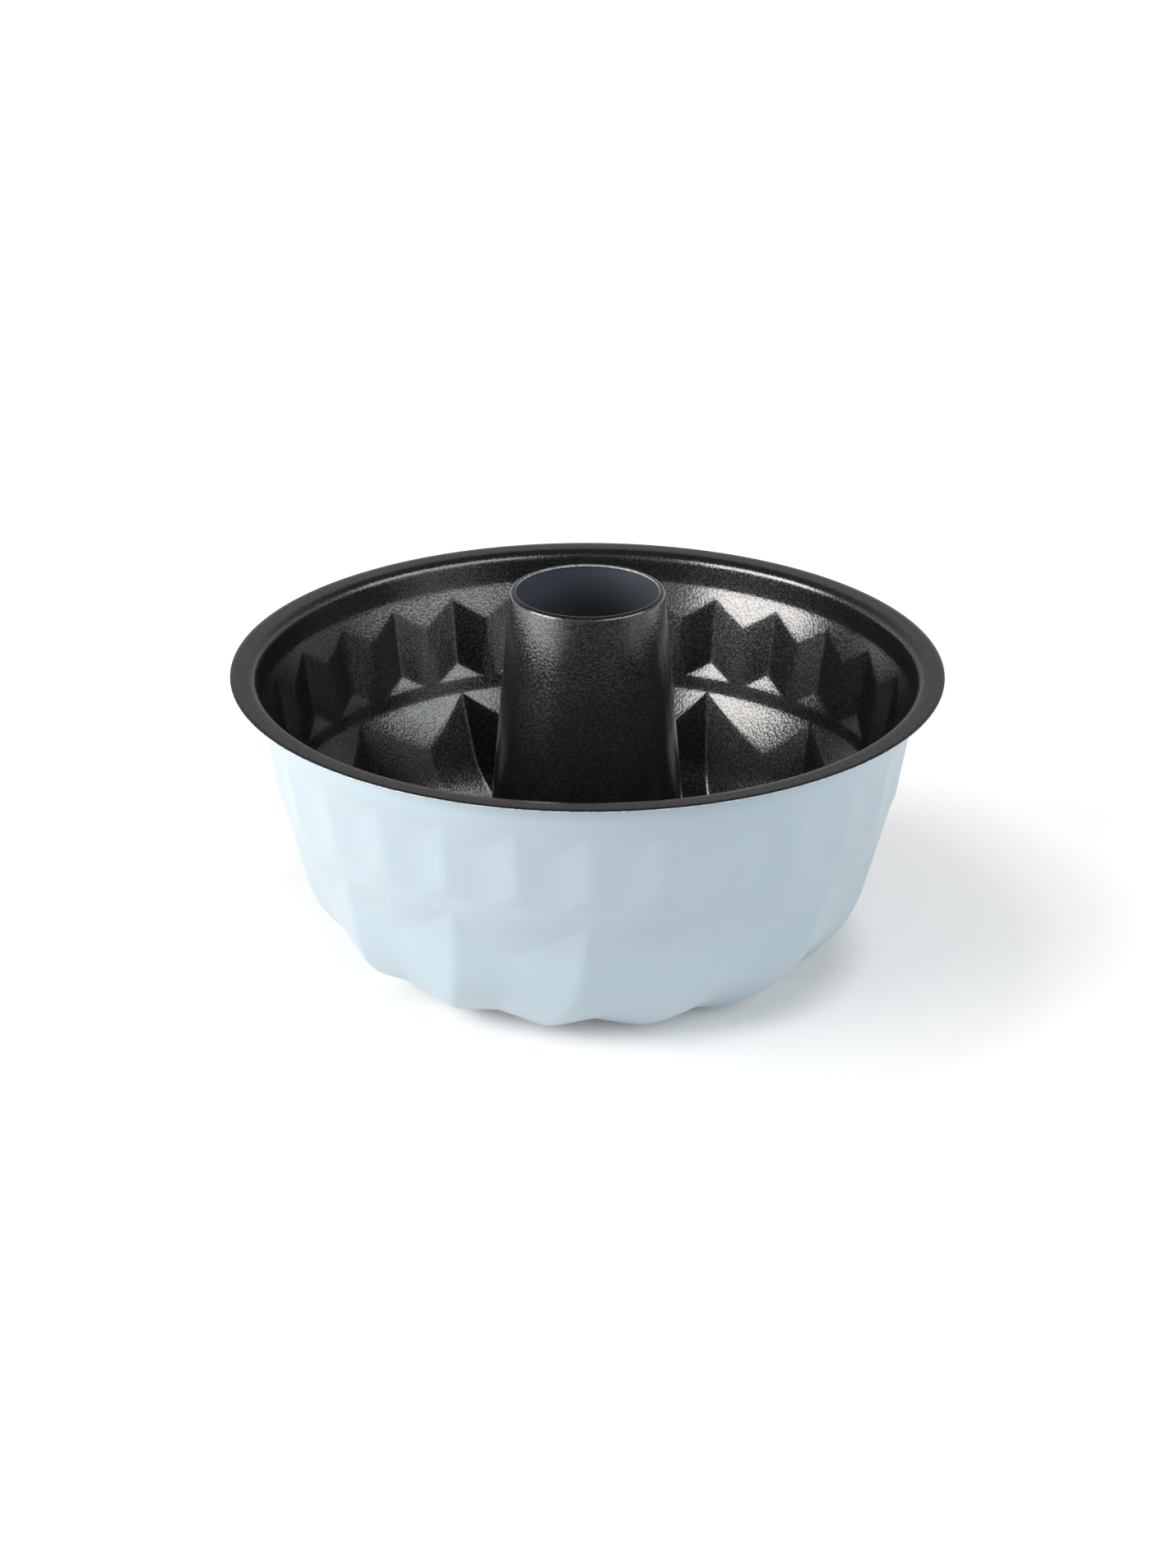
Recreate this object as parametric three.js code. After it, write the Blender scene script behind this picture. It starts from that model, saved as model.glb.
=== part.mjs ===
// Fluted ring-cake pan: a pressed sheet-steel bowl with two tiers of flutes, and a tapered centre tube
// whose foot is locked round the hole in the bowl's floor. Millimetres, +Z up, standing at z = 0.
import * as THREE from 'three';

// Rim and sheet
const RIM_RADIUS = 120;
const RIM_HEIGHT = 103;
const SHEET_THICKNESS = 0.6;
const FLANGE_FLAT = 6.1;
const FLANGE_BEND_RADIUS = 2.8;

// Smooth collar under the rim, its height measured from the top of the flange
const COLLAR_HEIGHT = 10.1;
const COLLAR_LEAN = 5;

// Upper tier of flutes. Drops and heights go down the wall, leans are in degrees from the vertical,
// and the tops of grooves and ridges are measured from the foot of the collar. A bulge tells how far the
// curved foot of a conical facet hangs below a straight line: at mid-length, a quarter of this share of
// the facet's height.
const LOBE_COUNT = 14;
const FLUTES_PER_LOBE = 2;
const SHOULDER_LEAN = 18;
const SHOULDER_BULGE = 0.2;
const GROOVE_TOP_DROP = 3.4;
const RIDGE_TOP_DROP = 11.7;
const GROOVE_HEIGHT = 23.2;
const GROOVE_LEAN = 9.8;
const GROOVE_FLOOR_HEIGHT = 5.6;
const GROOVE_FLOOR_LEAN = 22;
const GROOVE_FLOOR_INSET = 2.9;

// Plain band between the tiers
const BAND_HEIGHT = 4.8;
const BAND_LEAN = 11;

// Lower tier: broad lobes that swirl as they turn under to the floor
const LOWER_WALL_LEAN = 14.6;
const LOBE_TIP_DROP = 16.3;
const LOBE_TIP_DEPTH = 2.8;
const LOBE_TIP_SKEW = 1.1;
const LOBE_TIP_BULGE = 0.45;
const LOBE_REST_DEPTH = 3.4;
const SWIRL_PER_MM = 0.43;
const SWIRL_START_INSET = 2.7;
const TURN_RADIUS = 42.5;

// Flat pads on which the lobes stand
const REST_PAD_LENGTH = 6;
const REST_PAD_WIDTH = 2;

// Floor round the hole, and the lock seam that holds the tube's foot there
const FLOOR_RISE = 4;
const FLOOR_LIP_MARGIN = 0.6;
const SEAM_CLEARANCE = 0.3;
const SEAM_SHEET = 1.1;
const SEAM_FLAT = 0.5;

// Centre tube
const TUBE_RISE = 27.5;
const TUBE_TOP_RADIUS = 26;
const TUBE_LEAN = 5;
const TUBE_WALL = 0.7;
const TUBE_TOP_ROUND = 1.3;
const TUBE_LIP_FLAT = 0.6;
const TUBE_FOOT_ROUND = 3;

// Fineness of the facets, and the distance below which two points are one
const TUBE_SEGMENTS = 56;
const ROUND_STEPS = 4;
const BEND_STEPS = 2;
const TURN_STEPS = 5;
const WELD_DISTANCE = 0.001;

// Finishes
const LACQUER_COLOUR = 0xc3d5df;
const LACQUER_ROUGHNESS = 0.35;
const NONSTICK_COLOUR = 0x1d1e20;
const NONSTICK_ROUGHNESS = 0.4;

const radians = THREE.MathUtils.degToRad;
const lerp = THREE.MathUtils.lerp;
const quarterTurn = Math.PI / 2;
const lobePitch = 2 * Math.PI / LOBE_COUNT;
const down = new THREE.Vector2(0, -1);

// A point of a profile: distance from the axis and height
function profilePoint(r, z) {
  return new THREE.Vector2(r, z);
}

// The profile point reached from a start by going down a given height along a wall that leans inwards
function downWall(start, drop, lean) {
  return profilePoint(start.x - drop * Math.tan(radians(lean)), start.y - drop);
}

// Points of an arc, both ends included, with the angle measured from +r towards +z
function arcPoints(centre, radius, fromAngle, toAngle, steps) {
  const points = [];
  for (let i = 0; i <= steps; i += 1) {
    const angle = lerp(fromAngle, toAngle, i / steps);
    points.push(profilePoint(centre.x + radius * Math.cos(angle), centre.y + radius * Math.sin(angle)));
  }
  return points;
}

// A point in space: azimuth is measured clockwise from the back, as seen from above
function spacePoint(profile, azimuth) {
  return new THREE.Vector3(profile.x * Math.sin(azimuth), profile.x * Math.cos(azimuth), profile.y);
}

// Profile of the upper wall on the inside of the sheet, from the flange down to the foot of the band
const rimEdge = profilePoint(RIM_RADIUS, RIM_HEIGHT);
const bendCentre = profilePoint(RIM_RADIUS - FLANGE_FLAT, RIM_HEIGHT - FLANGE_BEND_RADIUS);
const bendEnd = Math.PI - radians(COLLAR_LEAN);
const bend = arcPoints(bendCentre, FLANGE_BEND_RADIUS, quarterTurn, bendEnd, BEND_STEPS);
const collarTop = bend[BEND_STEPS];
const collarFoot = downWall(collarTop, COLLAR_HEIGHT - (RIM_HEIGHT - collarTop.y), COLLAR_LEAN);
const grooveTop = downWall(collarFoot, GROOVE_TOP_DROP, SHOULDER_LEAN);
const ridgeTop = downWall(collarFoot, RIDGE_TOP_DROP, SHOULDER_LEAN);
const grooveFoot = downWall(grooveTop, GROOVE_HEIGHT, GROOVE_LEAN);
const bandTop = downWall(grooveFoot, GROOVE_FLOOR_HEIGHT, GROOVE_FLOOR_LEAN);
const bandFoot = downWall(bandTop, BAND_HEIGHT, BAND_LEAN);

// Outside radius of the tube's wall at a height
const tubeTop = RIM_HEIGHT + TUBE_RISE;
function tubeRadiusAt(height) {
  return TUBE_TOP_RADIUS + (tubeTop - height) * Math.tan(radians(TUBE_LEAN));
}

// Lock seam: the tube's bead lies on the lip of the floor, and its curled edge lies under it
const floorLipTop = FLOOR_RISE + SHEET_THICKNESS;
const seamTop = floorLipTop + SEAM_CLEARANCE + SEAM_SHEET;
const seamBottom = FLOOR_RISE - SEAM_CLEARANCE - SEAM_SHEET;
const seamRound = SEAM_SHEET / 2;
const seamNeck = tubeRadiusAt(seamTop);
const holeRadius = seamNeck + SEAM_CLEARANCE;
const filletTop = seamTop + TUBE_FOOT_ROUND;
const filletCentre = profilePoint(tubeRadiusAt(filletTop) + TUBE_FOOT_ROUND, filletTop);
const seamEdge = filletCentre.x + SEAM_FLAT;
const lipRadius = seamEdge + seamRound + FLOOR_LIP_MARGIN;

// The turn is an arc tangent to the lower wall and to the ground. It keeps clear of the lobes' tips above
// it, and leaves room on the ground for the pads.
const lowerLean = radians(LOWER_WALL_LEAN);
const bottom = SHEET_THICKNESS;
const tipGroove = downWall(bandFoot, LOBE_TIP_DROP, LOWER_WALL_LEAN);
const wallAtGround = bandFoot.x - (bandFoot.y - bottom) * Math.tan(lowerLean);
const turnReach = 1 / Math.cos(lowerLean) - Math.tan(lowerLean);
const turnRise = 1 - Math.sin(lowerLean);
const roomUnderTip = (tipGroove.y - bottom) / turnRise;
const roomOnGround = (wallAtGround - lipRadius - REST_PAD_LENGTH) / turnReach;
const turnRadius = Math.min(TURN_RADIUS, roomUnderTip, roomOnGround);
const restRadius = wallAtGround - turnRadius * turnReach;

// How far the lower flutes have swirled round the axis at a given radius, clockwise from above
function swirlAt(radius) {
  return radians(SWIRL_PER_MM) * Math.max(0, bandFoot.x - SWIRL_START_INSET - radius);
}

// A row that runs round the bowl as a plain circle
function circleRow(profile) {
  return { groove: profile, ridge: profile, circle: true };
}

// A row that zigzags between the upper grooves and ridges
function fluteRow(groove, ridge) {
  return { groove, ridge, circle: false };
}

// The zigzag at the foot of a band of conical facets
function coneFoot(row, bulge) {
  return { ...row, bulge };
}

// A row that runs between the lower grooves and ridges, each with its own swirl
function lobeRow(groove, ridge, skew, padWidth) {
  return {
    groove,
    ridge,
    lobes: true,
    grooveSwirl: swirlAt(groove.x),
    ridgeSwirl: swirlAt(ridge.x) + radians(skew),
    padShare: padWidth / (lobePitch * restRadius),
  };
}

// Rows of the flange, its bend and the smooth collar, from the edge down
function rimRows() {
  return [rimEdge, ...bend, collarFoot].map(circleRow);
}

// Rows of the upper flutes and of the band under them. The floors of the grooves end short of the ridges.
function upperRows() {
  const halfFlute = lobePitch * bandTop.x / (2 * FLUTES_PER_LOBE);
  const floorEdge = fluteRow(grooveFoot, bandTop);
  floorEdge.span = 1 - GROOVE_FLOOR_INSET / halfFlute;
  const shoulderFoot = coneFoot(fluteRow(grooveTop, ridgeTop), SHOULDER_BULGE);
  return [shoulderFoot, floorEdge, circleRow(bandTop), circleRow(bandFoot)];
}

// Rows of the lower lobes, from the foot of the band round the turn to the edge of the pads
function turnRows() {
  const inwards = profilePoint(-Math.cos(lowerLean), Math.sin(lowerLean));
  const tip = tipGroove.clone().addScaledVector(inwards, LOBE_TIP_DEPTH);
  const rows = [coneFoot(lobeRow(bandFoot, tip, LOBE_TIP_SKEW, 0), LOBE_TIP_BULGE)];
  const turnCentre = profilePoint(restRadius, bottom + turnRadius);
  const padAngle = Math.asin(REST_PAD_LENGTH / 2 / turnRadius) - quarterTurn;
  const turn = arcPoints(turnCentre, turnRadius, -lowerLean, padAngle, TURN_STEPS);
  turn.pop();
  turn.forEach((groove, i) => {
    const share = i / TURN_STEPS;
    const normal = turnCentre.clone().sub(groove).normalize();
    const depth = lerp(LOBE_TIP_DEPTH, LOBE_REST_DEPTH, share);
    const ridge = groove.clone().addScaledVector(normal, depth);
    const skew = LOBE_TIP_SKEW * (1 - share) / 2;
    rows.push(lobeRow(groove, ridge, skew, REST_PAD_WIDTH * share));
  });
  return rows;
}

// Rows of the pads on which the pan stands, and of the floor from there up to the flat lip round the hole
function floorRows() {
  const rows = [];
  for (const radius of [restRadius + REST_PAD_LENGTH / 2, restRadius - REST_PAD_LENGTH / 2]) {
    const groove = profilePoint(radius, bottom);
    const ridge = profilePoint(radius, bottom + LOBE_REST_DEPTH);
    rows.push({ ...lobeRow(groove, ridge, 0, REST_PAD_WIDTH), outward: down });
  }

  // Half-way up the floor the lobes have died out by half
  const middle = (restRadius - REST_PAD_LENGTH / 2 + lipRadius) / 2;
  const middleGroove = profilePoint(middle, (bottom + floorLipTop) / 2);
  const middleRidge = profilePoint(middle, middleGroove.y + LOBE_REST_DEPTH / 2);
  rows.push(lobeRow(middleGroove, middleRidge, 0, REST_PAD_WIDTH / 2));
  for (const radius of [lipRadius, holeRadius]) {
    const lip = profilePoint(radius, floorLipTop);
    rows.push({ ...lobeRow(lip, lip, 0, 0), circle: true, outward: down });
  }
  return rows;
}

// Column places across one lobe, as shares of its pitch: creases, ends of the groove floors and pad edges
function columnShares(floorSpan, padShare) {
  const half = 1 / (2 * FLUTES_PER_LOBE);
  const shares = [padShare];
  for (let flute = 0; flute < FLUTES_PER_LOBE; flute += 1) {
    const start = 2 * half * flute;
    shares.push(start, start + half * floorSpan, start + half, start + half * (2 - floorSpan));
  }
  shares.push(1 - padShare);
  return shares.sort((a, b) => a - b);
}

// Where one row crosses one column. Between creases the sheet is flat, so points lie on straight lines,
// but the foot of a conical facet is a curve on the cone.
function rowPoint(row, lobe, share) {
  const parts = row.lobes ? 1 : FLUTES_PER_LOBE;
  const pitch = lobePitch / parts;
  const start = lobe * lobePitch + (row.grooveSwirl ?? 0);
  if (row.circle) return { profile: row.groove, azimuth: start + share * lobePitch };

  const flute = Math.floor(share * parts);
  const within = share * parts - flute;
  const rising = within <= 1 / 2;
  const along = rising ? 2 * within : 2 * (1 - within);
  const grooveTurn = start + (rising ? flute : flute + 1) * pitch;
  const ridgeTurn = lobe * lobePitch + (flute + 1 / 2) * pitch + (row.ridgeSwirl ?? 0);
  const pad = row.padShare ?? 0;
  const padTurn = (rising ? 1 : -1) * pad * pitch / 2;
  if (along < pad) return { profile: row.groove, azimuth: grooveTurn + padTurn * along / pad };

  const reach = (along - pad) / (1 - pad);
  if (row.bulge) {
    const fall = reach + row.bulge * reach * (1 - reach);
    return { profile: row.groove.clone().lerp(row.ridge, fall), azimuth: lerp(grooveTurn, ridgeTurn, reach) };
  }
  const from = spacePoint(row.groove, grooveTurn + padTurn);
  const at = from.lerp(spacePoint(row.ridge, ridgeTurn), reach);
  const azimuth = Math.atan2(at.x, at.y);
  if (row.span) {
    return { profile: row.groove.clone().lerp(row.ridge, Math.min(1, reach / row.span)), azimuth };
  }
  return { profile: profilePoint(Math.hypot(at.x, at.y), at.z), azimuth };
}

// Outward direction of the sheet at one point of a column, square to the profile on both sides of it
function sheetNormal(column, index) {
  const here = column[index];
  const apart = (point) => point.distanceTo(here) > WELD_DISTANCE;
  const before = column.slice(0, index).reverse().find(apart);
  const after = column.slice(index + 1).find(apart);
  const normals = [];
  if (before) normals.push(profilePoint(here.y - before.y, before.x - here.x).normalize());
  if (after) normals.push(profilePoint(after.y - here.y, here.x - after.x).normalize());
  const mean = normals.reduce((sum, normal) => sum.add(normal), profilePoint(0, 0)).normalize();
  return mean.divideScalar(mean.dot(normals[0])).negate();
}

// Closed surface from a grid of points that wraps round both ways. Faces that shrink to nothing drop out.
function gridGeometry(grid) {
  const positions = [];
  const lookup = new Map();
  const indices = grid.map((ring) => ring.map((point) => {
    const key = point.toArray().map((value) => Math.round(value / WELD_DISTANCE)).join();
    if (!lookup.has(key)) {
      lookup.set(key, lookup.size);
      positions.push(...point.toArray());
    }
    return lookup.get(key);
  }));
  const faces = [];
  const addFace = (a, b, c) => {
    if (a !== b && b !== c && c !== a) faces.push(a, b, c);
  };
  indices.forEach((ring, i) => {
    const next = indices[(i + 1) % indices.length];
    ring.forEach((corner, j) => {
      const k = (j + 1) % ring.length;
      addFace(corner, next[k], next[j]);
      addFace(corner, ring[k], next[k]);
    });
  });
  const geometry = new THREE.BufferGeometry();
  geometry.setAttribute('position', new THREE.Float32BufferAttribute(positions, 3));
  geometry.setIndex(faces);
  geometry.computeVertexNormals();
  return geometry;
}

// Pressed bowl: each column of the grid goes down the inside and comes back up the outside of the sheet
function bowlGeometry() {
  const upper = upperRows();
  const floor = floorRows();
  const rows = [...rimRows(), ...upper, ...turnRows(), ...floor];
  const floorSpan = upper.find((row) => row.span).span;
  const padShare = floor[0].padShare / 2;
  const grid = [];
  for (let lobe = 0; lobe < LOBE_COUNT; lobe += 1) {
    for (const share of columnShares(floorSpan, padShare)) {
      const places = rows.map((row) => rowPoint(row, lobe, share));
      const profiles = places.map((place) => place.profile);
      const inside = places.map((place) => spacePoint(place.profile, place.azimuth));
      const outside = places.map((place, i) => {
        const normal = rows[i].outward ?? sheetNormal(profiles, i);
        const outer = place.profile.clone().addScaledVector(normal, SHEET_THICKNESS);
        return spacePoint(outer, place.azimuth);
      });
      grid.push([...inside, ...outside.reverse()]);
    }
  }
  return gridGeometry(grid);
}

// Rounded edge of the seam's sheet, from its top to its underside
function seamEdgeRound(height) {
  const centre = profilePoint(seamEdge, height);
  return arcPoints(centre, seamRound, quarterTurn, -quarterTurn, ROUND_STEPS);
}

// Closed outline of the tube's wall: mouth, rounded top, tapered wall, locked foot and bore
function tubeOutline() {
  const topCentre = profilePoint(TUBE_TOP_RADIUS - TUBE_TOP_ROUND, tubeTop - TUBE_TOP_ROUND);
  const topRound = arcPoints(topCentre, TUBE_TOP_ROUND, quarterTurn, radians(TUBE_LEAN), ROUND_STEPS);
  const fillet = arcPoints(filletCentre, TUBE_FOOT_ROUND, Math.PI, Math.PI + quarterTurn, ROUND_STEPS);
  const bead = seamEdgeRound(seamTop - seamRound);
  const curl = seamEdgeRound(seamBottom + seamRound);
  const slotHeights = [seamTop - SEAM_SHEET, seamBottom + SEAM_SHEET];
  const slot = slotHeights.map((height) => profilePoint(seamNeck, height));
  const boreFoot = profilePoint(seamNeck - TUBE_WALL, seamBottom);

  // The lip turns in round the mouth. Its inner round is the outer one less the wall.
  const innerRound = Math.max(0, TUBE_TOP_ROUND - TUBE_WALL);
  const innerInset = TUBE_WALL + innerRound;
  const innerCentre = profilePoint(TUBE_TOP_RADIUS - innerInset, tubeTop - innerInset);
  const innerTurn = arcPoints(innerCentre, innerRound, 0, quarterTurn, ROUND_STEPS);
  const mouth = profilePoint(topCentre.x - TUBE_LIP_FLAT, tubeTop);
  const lipUnder = profilePoint(mouth.x, tubeTop - TUBE_WALL);
  return [mouth, ...topRound, ...fillet, ...bead, ...slot, ...curl, boreFoot, ...innerTurn, lipUnder];
}

// Drawn tube, turned round the axis
function tubeGeometry() {
  const outline = tubeOutline();
  const grid = [];
  for (let i = 0; i < TUBE_SEGMENTS; i += 1) {
    const azimuth = 2 * Math.PI * i / TUBE_SEGMENTS;
    grid.push(outline.map((profile) => spacePoint(profile, azimuth)).reverse());
  }
  return gridGeometry(grid);
}

// Pale lacquer, as on the outside of the bowl
function lacquer() {
  return new THREE.MeshStandardMaterial({ color: LACQUER_COLOUR, roughness: LACQUER_ROUGHNESS });
}

// Dark non-stick coating, as on the tube
function nonstick() {
  return new THREE.MeshStandardMaterial({ color: NONSTICK_COLOUR, roughness: NONSTICK_ROUGHNESS });
}

// A named piece of the pan
function piece(name, geometry, material) {
  const mesh = new THREE.Mesh(geometry, material);
  mesh.name = name;
  return mesh;
}

const pan = new THREE.Group();
pan.add(piece('bowl', bowlGeometry(), lacquer()));
pan.add(piece('centre_tube', tubeGeometry(), nonstick()));

export default pan;
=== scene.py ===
"""Fluted ring-cake pan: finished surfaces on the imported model, with studio light, floor and camera."""
import math

import bpy
import numpy as np
from mathutils import Matrix, Vector


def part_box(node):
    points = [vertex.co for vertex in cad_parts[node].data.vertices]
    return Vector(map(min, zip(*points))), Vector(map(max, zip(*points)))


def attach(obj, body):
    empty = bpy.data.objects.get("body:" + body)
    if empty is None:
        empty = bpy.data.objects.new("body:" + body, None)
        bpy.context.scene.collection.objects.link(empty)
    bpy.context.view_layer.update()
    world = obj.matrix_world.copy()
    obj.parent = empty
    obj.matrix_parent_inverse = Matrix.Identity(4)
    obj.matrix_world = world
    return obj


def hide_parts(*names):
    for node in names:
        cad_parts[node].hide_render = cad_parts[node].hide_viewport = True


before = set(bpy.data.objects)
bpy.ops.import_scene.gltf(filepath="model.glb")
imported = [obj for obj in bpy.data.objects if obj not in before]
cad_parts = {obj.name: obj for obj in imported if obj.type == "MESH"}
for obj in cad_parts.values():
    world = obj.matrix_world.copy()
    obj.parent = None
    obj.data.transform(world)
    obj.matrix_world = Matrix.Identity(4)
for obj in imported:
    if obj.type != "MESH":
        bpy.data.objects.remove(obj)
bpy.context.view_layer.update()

MM = 0.001
bowl_low, bowl_high = (np.array(corner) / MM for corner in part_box("bowl"))
_, tube_high = (np.array(corner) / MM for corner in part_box("centre_tube"))

# Bowl, in millimetres and degrees: the rim's radius and height come from the frame
RIM_RADIUS = (bowl_high[0] - bowl_low[0]) / 2
RIM_HEIGHT = bowl_high[2]
SHEET_THICKNESS = 0.6
EDGE_ROUND = 0.15
FLANGE_FLAT = 6.1
FLANGE_BEND_RADIUS = 2.8
COLLAR_HEIGHT = 10.1
COLLAR_LEAN = 5

# Upper flutes: drops and heights go down the wall, leans are from the vertical
LOBE_COUNT = 14
FLUTES_PER_LOBE = 2
SHOULDER_LEAN = 18
SHOULDER_BULGE = 0.2
GROOVE_TOP_DROP = 3.4
RIDGE_TOP_DROP = 11.7
GROOVE_HEIGHT = 23.2
GROOVE_LEAN = 9.8
GROOVE_FLOOR_HEIGHT = 5.6
GROOVE_FLOOR_LEAN = 22
GROOVE_FLOOR_INSET = 2.9

# Plain band between the tiers
BAND_HEIGHT = 4.8
BAND_LEAN = 11

# Lower lobes, their swirl and the pads that they stand on
LOWER_WALL_LEAN = 14.6
LOBE_TIP_DROP = 16.3
LOBE_TIP_DEPTH = 2.8
LOBE_TIP_SKEW = 1.1
LOBE_TIP_BULGE = 0.45
LOBE_REST_DEPTH = 3.4
SWIRL_PER_MM = 0.43
SWIRL_START_INSET = 2.7
TURN_RADIUS = 42.5
REST_PAD_LENGTH = 6
REST_PAD_WIDTH = 2

# Floor and lock seam
FLOOR_RISE = 4
FLOOR_LIP_MARGIN = 0.6
SEAM_CLEARANCE = 0.3
SEAM_SHEET = 1.1
SEAM_FLAT = 0.5

# Centre tube: its top comes from the frame
TUBE_TOP = tube_high[2]
TUBE_TOP_RADIUS = 26
TUBE_LEAN = 5
TUBE_WALL = 0.7
TUBE_TOP_ROUND = 1.3
TUBE_LIP_FLAT = 0.6
TUBE_FOOT_ROUND = 3

# Softness of the pressed creases in millimetres, and the least distance that counts there
INSIDE_SOFTNESS = 0.55
OUTSIDE_SOFTNESS = 1.4
LEAST_DISTANCE = 0.001

# Fineness of the meshes: columns beside each crease in shares of a lobe, steps of arcs, rows down each zone
CREASE_OFFSETS = (0.007, 0.018, 0.034, 0.056)
TUBE_SEGMENTS = 160
TURN_STEPS = 18
ROUND_STEPS = 8
FLANGE_ROWS = 3
COLLAR_ROWS = 5
SHOULDER_ROWS = 7
FLUTE_ROWS = 9
GROOVE_FLOOR_ROWS = 5
BAND_ROWS = 5
LOBE_TOP_ROWS = 7
LOBE_TIP_ROWS = 6
PAD_ROWS = 3
FLOOR_ROWS = 4
FLOOR_LIP_ROWS = 3

LOBE_PITCH = 2 * math.pi / LOBE_COUNT
QUARTER = math.pi / 2


def down_wall(start, drop, lean):
    """The profile point reached by going down a wall that leans inwards."""
    return (start[0] - drop * math.tan(math.radians(lean)), start[1] - drop)


def arc(centre, radius, start, end, steps):
    """Profile points of an arc, both ends included, with angles from +r towards +z."""
    angles = np.linspace(start, end, steps + 1)
    return [(centre[0] + radius * math.cos(a), centre[1] + radius * math.sin(a)) for a in angles]


def in_space(profile, azimuths):
    """Points at the given azimuths, which run clockwise from the back as seen from above."""
    r, z = profile
    heights = np.broadcast_to(z, azimuths.shape)
    return np.stack([r * np.sin(azimuths), r * np.cos(azimuths), heights], axis=-1)


# Profile of the upper wall on the inside of the sheet
bend_centre = (RIM_RADIUS - FLANGE_FLAT, RIM_HEIGHT - FLANGE_BEND_RADIUS)
bend = arc(bend_centre, FLANGE_BEND_RADIUS, QUARTER, math.pi - math.radians(COLLAR_LEAN), ROUND_STEPS)
collar_foot = down_wall(bend[-1], bend[-1][1] - (RIM_HEIGHT - COLLAR_HEIGHT), COLLAR_LEAN)
groove_top = down_wall(collar_foot, GROOVE_TOP_DROP, SHOULDER_LEAN)
ridge_top = down_wall(collar_foot, RIDGE_TOP_DROP, SHOULDER_LEAN)
groove_foot = down_wall(groove_top, GROOVE_HEIGHT, GROOVE_LEAN)
band_top = down_wall(groove_foot, GROOVE_FLOOR_HEIGHT, GROOVE_FLOOR_LEAN)
band_foot = down_wall(band_top, BAND_HEIGHT, BAND_LEAN)


def tube_radius_at(height):
    """Outside radius of the tube's wall at a height."""
    return TUBE_TOP_RADIUS + (TUBE_TOP - height) * math.tan(math.radians(TUBE_LEAN))


# Lock seam between the tube's foot and the floor
floor_lip_top = FLOOR_RISE + SHEET_THICKNESS
seam_top = floor_lip_top + SEAM_CLEARANCE + SEAM_SHEET
seam_bottom = FLOOR_RISE - SEAM_CLEARANCE - SEAM_SHEET
seam_neck = tube_radius_at(seam_top)
hole_radius = seam_neck + SEAM_CLEARANCE
fillet_top = seam_top + TUBE_FOOT_ROUND
fillet_centre = (tube_radius_at(fillet_top) + TUBE_FOOT_ROUND, fillet_top)
seam_edge = fillet_centre[0] + SEAM_FLAT
lip_radius = seam_edge + SEAM_SHEET / 2 + FLOOR_LIP_MARGIN

# The turn from the lower wall to the ground
lower_lean = math.radians(LOWER_WALL_LEAN)
wall_at_ground = band_foot[0] - (band_foot[1] - SHEET_THICKNESS) * math.tan(lower_lean)
rest_radius = wall_at_ground - TURN_RADIUS * (1 / math.cos(lower_lean) - math.tan(lower_lean))
turn_centre = (rest_radius, SHEET_THICKNESS + TURN_RADIUS)


def swirl_at(radius):
    """How far the lower lobes have swirled at a radius, clockwise from above."""
    return math.radians(SWIRL_PER_MM) * max(0, band_foot[0] - SWIRL_START_INSET - radius)


def column_shares():
    """Places of the mesh columns across one lobe, drawn together at the creases."""
    creases = np.arange(2 * FLUTES_PER_LOBE) / (2 * FLUTES_PER_LOBE)
    offsets = [0.0]
    for offset in CREASE_OFFSETS:
        offsets += [offset, -offset]
    middles = creases + creases[1] / 2
    places = np.concatenate([creases + offset for offset in offsets] + [middles])
    return np.sort(places % 1)


shares = column_shares()
lobe_of = np.repeat(np.arange(LOBE_COUNT), len(shares))
share_of = np.tile(shares, LOBE_COUNT)


def circle_row(profile):
    """A plain circle round the bowl, with the columns of the swirl."""
    return in_space(profile, (lobe_of + share_of) * LOBE_PITCH + swirl_at(profile[0]))


def on_profile(start, end, share, azimuths):
    """Points at shares of the way between two profile points."""
    radius = start[0] + (end[0] - start[0]) * share
    height = start[1] + (end[1] - start[1]) * share
    return in_space((radius, height), azimuths)


def zigzag_row(groove, ridge, parts, skew=0.0, pad_width=0.0, span=None, bulge=0.0):
    """A row between grooves and ridges: straight, bulged, or with pads or floors in the grooves."""
    pitch = LOBE_PITCH / parts
    flute = np.floor(share_of * parts)
    within = share_of * parts - flute
    rising = within <= 0.5
    along = np.where(rising, 2 * within, 2 * (1 - within))
    side = np.where(rising, 1, -1)
    groove_turn = lobe_of * LOBE_PITCH + (flute + ~rising) * pitch + swirl_at(groove[0])
    ridge_turn = lobe_of * LOBE_PITCH + (flute + 0.5) * pitch + swirl_at(ridge[0]) + math.radians(skew)
    pad = pad_width / (LOBE_PITCH * rest_radius)
    reach = np.clip((along - pad) / (1 - pad), 0, None)[:, None]
    on_pad = np.clip(along / pad, 0, 1) if pad else 1
    start = in_space(groove, groove_turn + side * on_pad * pad * pitch / 2)
    row = start + (in_space(ridge, ridge_turn) - start) * reach
    if span:
        azimuth = np.arctan2(row[:, 0], row[:, 1])
        return on_profile(groove, ridge, np.clip(reach[:, 0] / span, 0, 1), azimuth)
    if bulge:
        azimuth = groove_turn + (ridge_turn - groove_turn) * along
        return on_profile(groove, ridge, along + bulge * along * (1 - along), azimuth)
    return row


def flute_row(groove, ridge, **more):
    """A row of the upper tier."""
    return zigzag_row(groove, ridge, FLUTES_PER_LOBE, **more)


def lobe_row(groove, ridge, **more):
    """A row of the lower tier."""
    return zigzag_row(groove, ridge, 1, **more)


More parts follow.
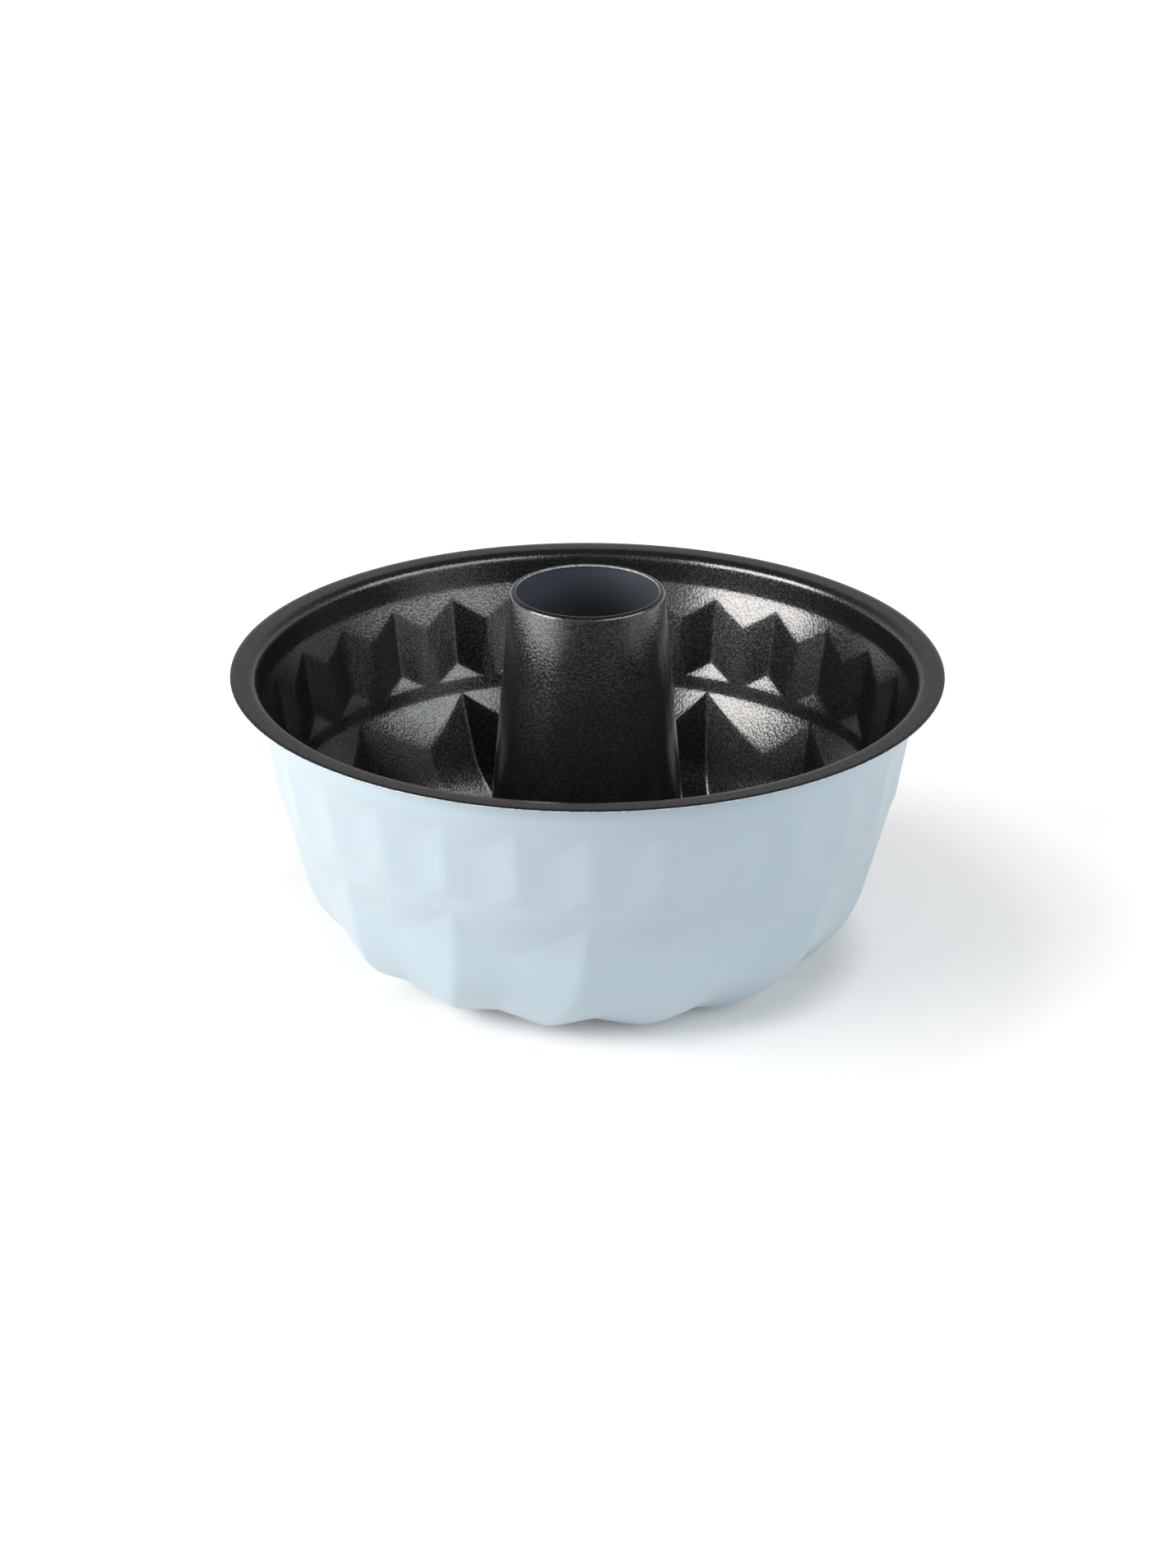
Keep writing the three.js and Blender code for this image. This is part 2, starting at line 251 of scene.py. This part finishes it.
def upper_stations():
    """Rows of the flange, collar, upper flutes and band, each with the count of mesh rows to the next."""
    half_flute = LOBE_PITCH * band_top[0] / (2 * FLUTES_PER_LOBE)
    floor_span = 1 - GROOVE_FLOOR_INSET / half_flute
    stations = [(circle_row((RIM_RADIUS - EDGE_ROUND, RIM_HEIGHT)), FLANGE_ROWS)]
    stations += [(circle_row(profile), 1) for profile in bend[:-1]]
    stations.append((circle_row(bend[-1]), COLLAR_ROWS))
    stations.append((circle_row(collar_foot), SHOULDER_ROWS))
    stations.append((flute_row(groove_top, ridge_top, bulge=SHOULDER_BULGE), FLUTE_ROWS))
    stations.append((flute_row(groove_foot, band_top, span=floor_span), GROOVE_FLOOR_ROWS))
    stations.append((circle_row(band_top), BAND_ROWS))
    stations.append((circle_row(band_foot), LOBE_TOP_ROWS))
    return stations


def lower_stations():
    """Rows of the lower lobes, from their tips round the turn to the pads and the hole."""
    inwards = np.array([-math.cos(lower_lean), math.sin(lower_lean)])
    tip = np.array(down_wall(band_foot, LOBE_TIP_DROP, LOWER_WALL_LEAN)) + inwards * LOBE_TIP_DEPTH
    tip_row = lobe_row(band_foot, tuple(tip), skew=LOBE_TIP_SKEW, bulge=LOBE_TIP_BULGE)
    stations = [(tip_row, LOBE_TIP_ROWS)]
    pad_half = REST_PAD_LENGTH / 2
    pad_angle = math.asin(pad_half / TURN_RADIUS) - QUARTER
    turn = arc(turn_centre, TURN_RADIUS, -lower_lean, pad_angle, TURN_STEPS)
    for step, groove in enumerate(turn[:-1]):
        share = step / TURN_STEPS
        inwards = (np.array(turn_centre) - np.array(groove)) / TURN_RADIUS
        ridge = np.array(groove) + inwards * (LOBE_TIP_DEPTH + (LOBE_REST_DEPTH - LOBE_TIP_DEPTH) * share)
        skew = LOBE_TIP_SKEW * (1 - share) / 2
        stations.append((lobe_row(groove, tuple(ridge), skew=skew, pad_width=REST_PAD_WIDTH * share), 1))
    for radius in (rest_radius + pad_half, rest_radius - pad_half):
        ridge = (radius, SHEET_THICKNESS + LOBE_REST_DEPTH)
        stations.append((lobe_row((radius, SHEET_THICKNESS), ridge, pad_width=REST_PAD_WIDTH), PAD_ROWS))
    middle = (rest_radius - pad_half + lip_radius) / 2
    middle_height = (SHEET_THICKNESS + floor_lip_top) / 2
    middle_ridge = (middle, middle_height + LOBE_REST_DEPTH / 2)
    middle_row = lobe_row((middle, middle_height), middle_ridge, pad_width=REST_PAD_WIDTH / 2)
    stations.append((middle_row, FLOOR_ROWS))
    stations.append((circle_row((lip_radius, floor_lip_top)), FLOOR_LIP_ROWS))
    stations.append((circle_row((hole_radius, floor_lip_top)), 0))
    return stations


def fill_rows(stations):
    """Grid of points: the stations, and rows between them that draw together at both ends."""
    rows = []
    for (row, count), (following, _) in zip(stations, stations[1:]):
        for step in range(count):
            part = (1 - math.cos(math.pi * step / count)) / 2
            rows.append(row + (following - row) * part)
    rows.append(stations[-1][0])
    return np.array(rows)


def soften_round(row, softness):
    """One closed row, averaged along itself over a short distance."""
    steps = np.linalg.norm(np.roll(row, -1, axis=0) - row, axis=1)
    place = np.concatenate([[0], np.cumsum(steps)[:-1]])
    length = steps.sum()
    apart = np.abs(place[:, None] - place[None, :])
    apart = np.minimum(apart, length - apart)
    weight = np.exp(-0.5 * (apart / softness) ** 2) * (steps + np.roll(steps, 1))
    return weight @ row / weight.sum(axis=1, keepdims=True)


def soften_down(column, softness):
    """One open column, averaged along itself, with its two ends kept."""
    steps = np.linalg.norm(np.diff(column, axis=0), axis=1)
    place = np.concatenate([[0], np.cumsum(steps)])
    to_end = np.minimum(place, place[-1] - place)
    reach = np.minimum(softness, to_end / 2) + LEAST_DISTANCE
    width = np.concatenate([[0], steps]) + np.concatenate([steps, [0]]) + LEAST_DISTANCE
    apart = place[:, None] - place[None, :]
    weight = np.exp(-0.5 * (apart / reach[:, None]) ** 2) * width
    return weight @ column / weight.sum(axis=1, keepdims=True)


def soften(grid, softness):
    """The creases of a grid rounded both ways."""
    grid = np.stack([soften_round(row, softness) for row in grid])
    return np.stack([soften_down(grid[:, j], softness) for j in range(grid.shape[1])], axis=1)


def grid_normals(grid):
    """Directions square to the sheet, pointing to the outside of the bowl."""
    across = np.roll(grid, -1, axis=1)
    diagonal = across[1:] - grid[:-1]
    other = across[:-1] - grid[1:]
    face = np.cross(other, diagonal)
    face = face + np.roll(face, 1, axis=1)
    total = np.zeros_like(grid)
    total[:-1] += face
    total[1:] += face
    return total / np.linalg.norm(total, axis=2, keepdims=True)


def mesh_piece(name, points, faces, slots, materials):
    """A smooth mesh object in metres, with a material for each face."""
    mesh = bpy.data.meshes.new(name)
    mesh.from_pydata((np.asarray(points) * MM).tolist(), [], faces)
    mesh.polygons.foreach_set("material_index", slots)
    mesh.polygons.foreach_set("use_smooth", [True] * len(faces))
    for material in materials:
        mesh.materials.append(material)
    mesh.update()
    obj = bpy.data.objects.new(name, mesh)
    bpy.context.scene.collection.objects.link(obj)
    return obj


def ring_faces(rings, columns):
    """Quads between successive closed rings of points, and from the last ring back to the first."""
    faces = []
    for ring in range(rings):
        first = ring * columns
        second = (ring + 1) % rings * columns
        for j in range(columns):
            k = (j + 1) % columns
            faces.append((first + j, second + j, second + k, first + k))
    return faces


def bowl_piece(inside_finish, edge_finish, outside_finish):
    """The pressed bowl: inside, cut edge of the flange, and outside."""
    inside = soften(fill_rows(upper_stations() + lower_stations()), INSIDE_SOFTNESS)
    outside = inside + grid_normals(inside) * SHEET_THICKNESS
    outside = soften(outside, OUTSIDE_SOFTNESS)
    outside[..., 2] = np.maximum(outside[..., 2], 0)
    edge = [
        circle_row((RIM_RADIUS, RIM_HEIGHT - SHEET_THICKNESS + EDGE_ROUND)),
        circle_row((RIM_RADIUS, RIM_HEIGHT - EDGE_ROUND)),
    ]
    rings = np.concatenate([outside[::-1], np.array(edge), inside])
    columns = rings.shape[1]
    coated, cut, lacquered = 0, 1, 2
    spans = [lacquered] * len(outside) + [cut] + [coated] * (len(inside) + 1)
    slots = np.repeat(spans, columns)
    faces = ring_faces(len(rings), columns)
    finishes = [inside_finish, edge_finish, outside_finish]
    return mesh_piece("pressed_bowl", rings.reshape(-1, 3), faces, slots, finishes)


def tube_outline():
    """Closed outline of the tube's wall, as (profile point, finish of the stretch that starts there)."""
    coat, cut, bore = 0, 1, 2
    top_centre = (TUBE_TOP_RADIUS - TUBE_TOP_ROUND, TUBE_TOP - TUBE_TOP_ROUND)
    top_round = arc(top_centre, TUBE_TOP_ROUND, QUARTER, math.radians(TUBE_LEAN), ROUND_STEPS)
    fillet = arc(fillet_centre, TUBE_FOOT_ROUND, math.pi, math.pi + QUARTER, ROUND_STEPS)
    seam_round = SEAM_SHEET / 2
    bead = arc((seam_edge, seam_top - seam_round), seam_round, QUARTER, -QUARTER, ROUND_STEPS)
    curl = arc((seam_edge, seam_bottom + seam_round), seam_round, QUARTER, -QUARTER, ROUND_STEPS)
    inner_turn = arc(top_centre, TUBE_TOP_ROUND - TUBE_WALL, 0, QUARTER, ROUND_STEPS)
    mouth = top_centre[0] - TUBE_LIP_FLAT
    outline = [((mouth + EDGE_ROUND, TUBE_TOP), coat)]
    outline += [(point, coat) for point in top_round + fillet + bead]
    outline.append(((seam_neck, seam_top - SEAM_SHEET), coat))
    outline.append(((seam_neck, seam_bottom + SEAM_SHEET), coat))
    outline += [(point, bore) for point in curl]
    outline.append(((seam_neck - TUBE_WALL, seam_bottom), bore))
    outline += [(point, bore) for point in inner_turn]
    outline.append(((mouth + EDGE_ROUND, TUBE_TOP - TUBE_WALL), cut))
    outline.append(((mouth, TUBE_TOP - TUBE_WALL + EDGE_ROUND), cut))
    outline.append(((mouth, TUBE_TOP - EDGE_ROUND), cut))
    return outline


def tube_piece(coat, cut_edge, bore):
    """The drawn centre tube, turned round the axis."""
    outline = tube_outline()
    azimuths = np.arange(TUBE_SEGMENTS) * 2 * math.pi / TUBE_SEGMENTS
    rings = [in_space(point, azimuths) for point, _ in outline]
    faces = [tuple(reversed(face)) for face in ring_faces(len(rings), TUBE_SEGMENTS)]
    slots = np.repeat([finish for _, finish in outline], TUBE_SEGMENTS)
    return mesh_piece("drawn_tube", np.concatenate(rings), faces, slots, [coat, cut_edge, bore])


# Parts of the noise's range over which a finish changes
NARROW_RANGE = (0.40, 0.60)
MIDDLE_RANGE = (0.35, 0.65)
WIDE_RANGE = (0.30, 0.70)

# Black non-stick coating
COATING_COLOURS = ((0.0085, 0.0088, 0.0094), (0.0115, 0.0117, 0.0122))
COATING_CLOUD_SCALE = 60
COATING_ROUGHNESS = (0.18, 0.25)
COATING_IOR = 1.84
GRAIN_SCALE = 1220
GRAIN_GLOSS = (0.60, 1.0)
GRAIN_STRENGTH = 0.30
GRAIN_HEIGHT = 0.00015

# Slate coating of the tube's bore
BORE_COLOURS = ((0.078, 0.096, 0.116), (0.098, 0.118, 0.140))
BORE_CLOUD_SCALE = 45
BORE_ROUGHNESS = (0.36, 0.44)

# Pale blue lacquer
LACQUER_COLOURS = ((0.598, 0.722, 0.804), (0.622, 0.748, 0.827))
LACQUER_CLOUD_SCALE = 28
LACQUER_ROUGHNESS = (0.30, 0.37)
PEEL_SCALE = 420
PEEL_STRENGTH = 0.08
PEEL_HEIGHT = 0.0001

# Cut edges of the sheet
STEEL_COLOURS = ((0.45, 0.49, 0.52), (0.82, 0.86, 0.89))
STEEL_GRAIN_SCALE = 900
STEEL_ROUGHNESS = (0.25, 0.40)
STEEL_METALLIC = 0.2


def new_material(name):
    """A node material, with its nodes, links and shader."""
    material = bpy.data.materials.new(name)
    material.use_nodes = True
    nodes = material.node_tree.nodes
    return material, nodes, material.node_tree.links, nodes["Principled BSDF"]


def noise(nodes, links, scale, detail):
    """Noise in the object's own coordinates, with features about 1/scale metres wide."""
    place = nodes.new("ShaderNodeTexCoord")
    texture = nodes.new("ShaderNodeTexNoise")
    texture.inputs["Scale"].default_value = scale
    texture.inputs["Detail"].default_value = detail
    links.new(place.outputs["Object"], texture.inputs["Vector"])
    return texture.outputs["Fac"]


def ramp(nodes, links, source, span, values):
    """A value that goes from the first to the second of two values as the source crosses a span."""
    remap = nodes.new("ShaderNodeMapRange")
    remap.inputs["From Min"].default_value = span[0]
    remap.inputs["From Max"].default_value = span[1]
    remap.inputs["To Min"].default_value = values[0]
    remap.inputs["To Max"].default_value = values[1]
    links.new(source, remap.inputs["Value"])
    return remap.outputs["Result"]


def mix_colour(nodes, links, factor, colours):
    """Blend of two colours."""
    mix = nodes.new("ShaderNodeMix")
    mix.data_type = "RGBA"
    mix.inputs["A"].default_value = (*colours[0], 1)
    mix.inputs["B"].default_value = (*colours[1], 1)
    links.new(factor, mix.inputs["Factor"])
    return mix.outputs["Result"]


def bump(nodes, links, height, strength, distance):
    """A normal from a height."""
    node = nodes.new("ShaderNodeBump")
    node.inputs["Strength"].default_value = strength
    node.inputs["Distance"].default_value = distance
    links.new(height, node.inputs["Height"])
    return node.outputs["Normal"]


def nonstick():
    """Satin black coating with a fine mineral grain."""
    material, nodes, links, shader = new_material("nonstick_coating")
    grain = noise(nodes, links, GRAIN_SCALE, detail=0)
    cloud = noise(nodes, links, COATING_CLOUD_SCALE, detail=2)
    colour = mix_colour(nodes, links, cloud, COATING_COLOURS)
    roughness = ramp(nodes, links, grain, MIDDLE_RANGE, COATING_ROUGHNESS)
    gloss = ramp(nodes, links, grain, NARROW_RANGE, GRAIN_GLOSS)
    links.new(colour, shader.inputs["Base Color"])
    links.new(roughness, shader.inputs["Roughness"])
    links.new(gloss, shader.inputs["Specular IOR Level"])
    links.new(bump(nodes, links, grain, GRAIN_STRENGTH, GRAIN_HEIGHT), shader.inputs["Normal"])
    shader.inputs["IOR"].default_value = COATING_IOR
    return material


def bore_coating():
    """Smoother slate coating inside the tube."""
    material, nodes, links, shader = new_material("bore_coating")
    cloud = noise(nodes, links, BORE_CLOUD_SCALE, detail=2)
    links.new(mix_colour(nodes, links, cloud, BORE_COLOURS), shader.inputs["Base Color"])
    links.new(ramp(nodes, links, cloud, WIDE_RANGE, BORE_ROUGHNESS), shader.inputs["Roughness"])
    return material


def lacquer():
    """Pale blue stove lacquer with the faintest orange peel."""
    material, nodes, links, shader = new_material("pale_lacquer")
    cloud = noise(nodes, links, LACQUER_CLOUD_SCALE, detail=3)
    peel = noise(nodes, links, PEEL_SCALE, detail=2)
    links.new(mix_colour(nodes, links, cloud, LACQUER_COLOURS), shader.inputs["Base Color"])
    links.new(ramp(nodes, links, cloud, WIDE_RANGE, LACQUER_ROUGHNESS), shader.inputs["Roughness"])
    links.new(bump(nodes, links, peel, PEEL_STRENGTH, PEEL_HEIGHT), shader.inputs["Normal"])
    return material


def cut_steel():
    """Bright, speckled cut edge of the sheet."""
    material, nodes, links, shader = new_material("cut_edge")
    grain = noise(nodes, links, STEEL_GRAIN_SCALE, detail=2)
    speckle = ramp(nodes, links, grain, NARROW_RANGE, (0, 1))
    links.new(mix_colour(nodes, links, speckle, STEEL_COLOURS), shader.inputs["Base Color"])
    links.new(ramp(nodes, links, grain, WIDE_RANGE, STEEL_ROUGHNESS), shader.inputs["Roughness"])
    shader.inputs["Metallic"].default_value = STEEL_METALLIC
    return material


def build_pan():
    """Both pieces of the pan, in place of their solids."""
    coat, steel = nonstick(), cut_steel()
    bowl = bowl_piece(coat, steel, lacquer())
    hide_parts("bowl")
    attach(bowl, "root")
    tube = tube_piece(coat, steel, bore_coating())
    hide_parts("centre_tube")
    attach(tube, "root")


# Camera, fitted to the photograph's frame of 1430 by 1907 pixels
FRAME_HEIGHT_PX = 1907
FOCAL_PX = 5140.4
SENSOR_MM = 36
VIEW_DISTANCE = 1.440
VIEW_ELEVATION = math.radians(23.59)
VIEW_TURN = math.radians(-0.7)
VIEW_ROLL = math.radians(0.117)
TARGET_SIDE = 0.28 * MM
TARGET_BELOW_RIM = 43.1


def add_camera():
    """The photograph's camera."""
    right = Vector((math.cos(VIEW_TURN), math.sin(VIEW_TURN), 0))
    away = Vector((-math.sin(VIEW_TURN), math.cos(VIEW_TURN), 0))
    lift = Vector((0, 0, 1))
    forward = away * math.cos(VIEW_ELEVATION) - lift * math.sin(VIEW_ELEVATION)
    up = lift * math.cos(VIEW_ELEVATION) + away * math.sin(VIEW_ELEVATION)
    rolled_right = right * math.cos(VIEW_ROLL) + up * math.sin(VIEW_ROLL)
    rolled_up = up * math.cos(VIEW_ROLL) - right * math.sin(VIEW_ROLL)
    target = right * TARGET_SIDE + lift * (RIM_HEIGHT - TARGET_BELOW_RIM) * MM
    data = bpy.data.cameras.new("camera")
    data.sensor_width = SENSOR_MM
    data.lens = SENSOR_MM * FOCAL_PX / FRAME_HEIGHT_PX
    camera = bpy.data.objects.new("camera", data)
    axes = Matrix((rolled_right, rolled_up, -forward)).transposed()
    camera.matrix_world = Matrix.Translation(target - forward * VIEW_DISTANCE) @ axes.to_4x4()
    bpy.context.scene.collection.objects.link(camera)
    bpy.context.scene.camera = camera


# Softboxes, in metres: turns are degrees to the right of the front, elevations are degrees over the rim
SOFTBOX_DISTANCE = 1.5
LEFT_SOFTBOX = {
    "turn": -68,
    "elevation": 18,
    "width": 1.25,
    "height": 0.80,
    "watts": 19.2,
    "colour": (1.0, 0.968, 0.935),
}
RIGHT_SOFTBOX = {
    "turn": 56,
    "elevation": 27,
    "width": 1.9,
    "height": 0.82,
    "watts": 10.0,
    "colour": (0.93, 0.975, 1.0),
}


def add_softbox(name, turn, elevation, width, height, watts, colour):
    """A soft light that faces the middle of the rim."""
    turn, elevation = math.radians(turn), math.radians(elevation)
    target = Vector((0, 0, RIM_HEIGHT * MM))
    level = Vector((math.sin(turn), -math.cos(turn), 0)) * math.cos(elevation)
    place = target + (level + Vector((0, 0, math.sin(elevation)))) * SOFTBOX_DISTANCE
    data = bpy.data.lights.new(name, "AREA")
    data.shape = "RECTANGLE"
    data.size = width
    data.size_y = height
    data.energy = watts
    data.color = colour
    light = bpy.data.objects.new(name, data)
    light.location = place
    light.rotation_euler = (target - place).to_track_quat("-Z", "Y").to_euler()
    bpy.context.scene.collection.objects.link(light)


def add_lights():
    """A strong softbox at the left and a weaker one at the right, both a little to the front."""
    add_softbox("left_softbox", **LEFT_SOFTBOX)
    add_softbox("right_softbox", **RIGHT_SOFTBOX)


# Brightness of the surroundings, by the height of the direction: 0 is the horizon and 1 is overhead
WORLD_BY_HEIGHT = ((0.0, 0.53), (0.40, 0.27), (0.70, 0.09), (1.0, 0.05))


def grey_ramp(nodes, links, source, stops):
    """Greys that follow a value, from pairs of value and level."""
    node = nodes.new("ShaderNodeValToRGB")
    elements = node.color_ramp.elements
    while len(elements) < len(stops):
        elements.new(1)
    for element, (place, level) in zip(elements, stops):
        element.position = place
        element.color = (level, level, level, 1)
    links.new(source, node.inputs["Fac"])
    return node.outputs["Color"]


def add_world():
    """Pale walls all round, under a dark ceiling."""
    world = bpy.data.worlds.new("studio")
    world.use_nodes = True
    nodes, links = world.node_tree.nodes, world.node_tree.links
    place = nodes.new("ShaderNodeTexCoord")
    parts = nodes.new("ShaderNodeSeparateXYZ")
    links.new(place.outputs["Generated"], parts.inputs[0])
    grey = grey_ramp(nodes, links, parts.outputs["Z"], WORLD_BY_HEIGHT)
    links.new(grey, nodes["Background"].inputs["Color"])
    bpy.context.scene.world = world


# Floor, in metres: its colour darkens in front of the picture, between two places along Y
FLOOR_SIZE = 8
FLOOR_COLOURS = ((0.915, 0.900, 0.888), (0.10, 0.10, 0.10))
FRONT_RANGE = (-0.40, -0.60)

# Glow of the floor, which is painted light: it is kept low by the distance from a centre under the pan as
# painted contact shade and a painted fade of the shadow, and it has a painted light gain at the left along
# X
GLOW_CENTRE = (0.015, 0, 0)
GLOW_AND_PAINTED_SHADE_BY_DISTANCE = (
    (0.069, 0.09),
    (0.084, 0.35),
    (0.135, 0.43),
    (0.153, 0.53),
    (0.185, 0.68),
    (0.80, 0.95),
)
PAINTED_LIGHT_LEFT_RANGE = (-0.08, -0.14)
PAINTED_LIGHT_LEFT_GAIN = 1.2

# Reflections see the floor's glow as a painted reflection, and lose it towards the front over a range along
# this direction
TOWARDS_FRONT = (0.7, -1, 0)
PAINTED_REFLECTION_RANGE = (0.30, 0.55)


def math_node(nodes, links, operation, first, second):
    """Result of one operation on two sockets, kept between 0 and 1."""
    node = nodes.new("ShaderNodeMath")
    node.operation = operation
    node.use_clamp = True
    links.new(first, node.inputs[0])
    links.new(second, node.inputs[1])
    return node.outputs[0]


def vector_node(nodes, links, operation, source, vector):
    """Value of one operation on a socket and a fixed vector."""
    node = nodes.new("ShaderNodeVectorMath")
    node.operation = operation
    node.inputs[1].default_value = vector
    links.new(source, node.inputs[0])
    return node.outputs["Value"]


def floor_material():
    """Pale floor with a glow for the camera and for reflections, which leaves the pan's shadow visible. The
    glow is painted light: it is kept low close to the pan as painted shade, and it is raised at the left
    over a shadow there.
    """
    material = bpy.data.materials.new("floor")
    material.use_nodes = True
    nodes, links = material.node_tree.nodes, material.node_tree.links
    nodes.remove(nodes["Principled BSDF"])
    diffuse = nodes.new("ShaderNodeBsdfDiffuse")
    painted_glow_shader = nodes.new("ShaderNodeEmission")
    rays = nodes.new("ShaderNodeLightPath").outputs
    place = nodes.new("ShaderNodeTexCoord").outputs["Object"]
    parts = nodes.new("ShaderNodeSeparateXYZ")
    links.new(place, parts.inputs[0])
    front = ramp(nodes, links, parts.outputs["Y"], FRONT_RANGE, (0, 1))
    links.new(mix_colour(nodes, links, front, FLOOR_COLOURS), diffuse.inputs["Color"])
    reflections = math_node(nodes, links, "ADD", rays["Is Glossy Ray"], rays["Is Transmission Ray"])
    frontward = vector_node(nodes, links, "DOT_PRODUCT", place, TOWARDS_FRONT)
    nearby = ramp(nodes, links, frontward, PAINTED_REFLECTION_RANGE, (1, 0))
    painted_reflection = math_node(nodes, links, "MULTIPLY", reflections, nearby)
    seen = math_node(nodes, links, "MAXIMUM", rays["Is Camera Ray"], painted_reflection)
    # Painted shade and light: the glow is low close to the pan, rises outwards, and is raised at the left
    distance = vector_node(nodes, links, "DISTANCE", place, GLOW_CENTRE)
    painted_left_light = ramp(nodes, links, parts.outputs["X"], PAINTED_LIGHT_LEFT_RANGE, (1, PAINTED_LIGHT_LEFT_GAIN))
    glow_and_painted_shade = grey_ramp(nodes, links, distance, GLOW_AND_PAINTED_SHADE_BY_DISTANCE)
    painted_glow_strength = math_node(nodes, links, "MULTIPLY", glow_and_painted_shade, painted_left_light)
    links.new(math_node(nodes, links, "MULTIPLY", seen, painted_glow_strength), painted_glow_shader.inputs["Strength"])
    both = nodes.new("ShaderNodeAddShader")
    links.new(diffuse.outputs[0], both.inputs[0])
    links.new(painted_glow_shader.outputs[0], both.inputs[1])
    links.new(both.outputs[0], nodes["Material Output"].inputs["Surface"])
    return material


def add_floor():
    """A plain pale floor, which the camera sees as white where no shadow falls. Its glow paints the shade
    close to the pan and lifts a shadow at the left.
    """
    half = FLOOR_SIZE / 2
    corners = [(-half, -half, 0), (half, -half, 0), (half, half, 0), (-half, half, 0)]
    mesh = bpy.data.meshes.new("floor")
    mesh.from_pydata(corners, [], [(0, 1, 2, 3)])
    mesh.materials.append(floor_material())
    floor = bpy.data.objects.new("floor", mesh)
    bpy.context.scene.collection.objects.link(floor)


build_pan()
add_camera()
add_lights()
add_world()
add_floor()
bpy.context.scene.view_settings.view_transform = "Standard"
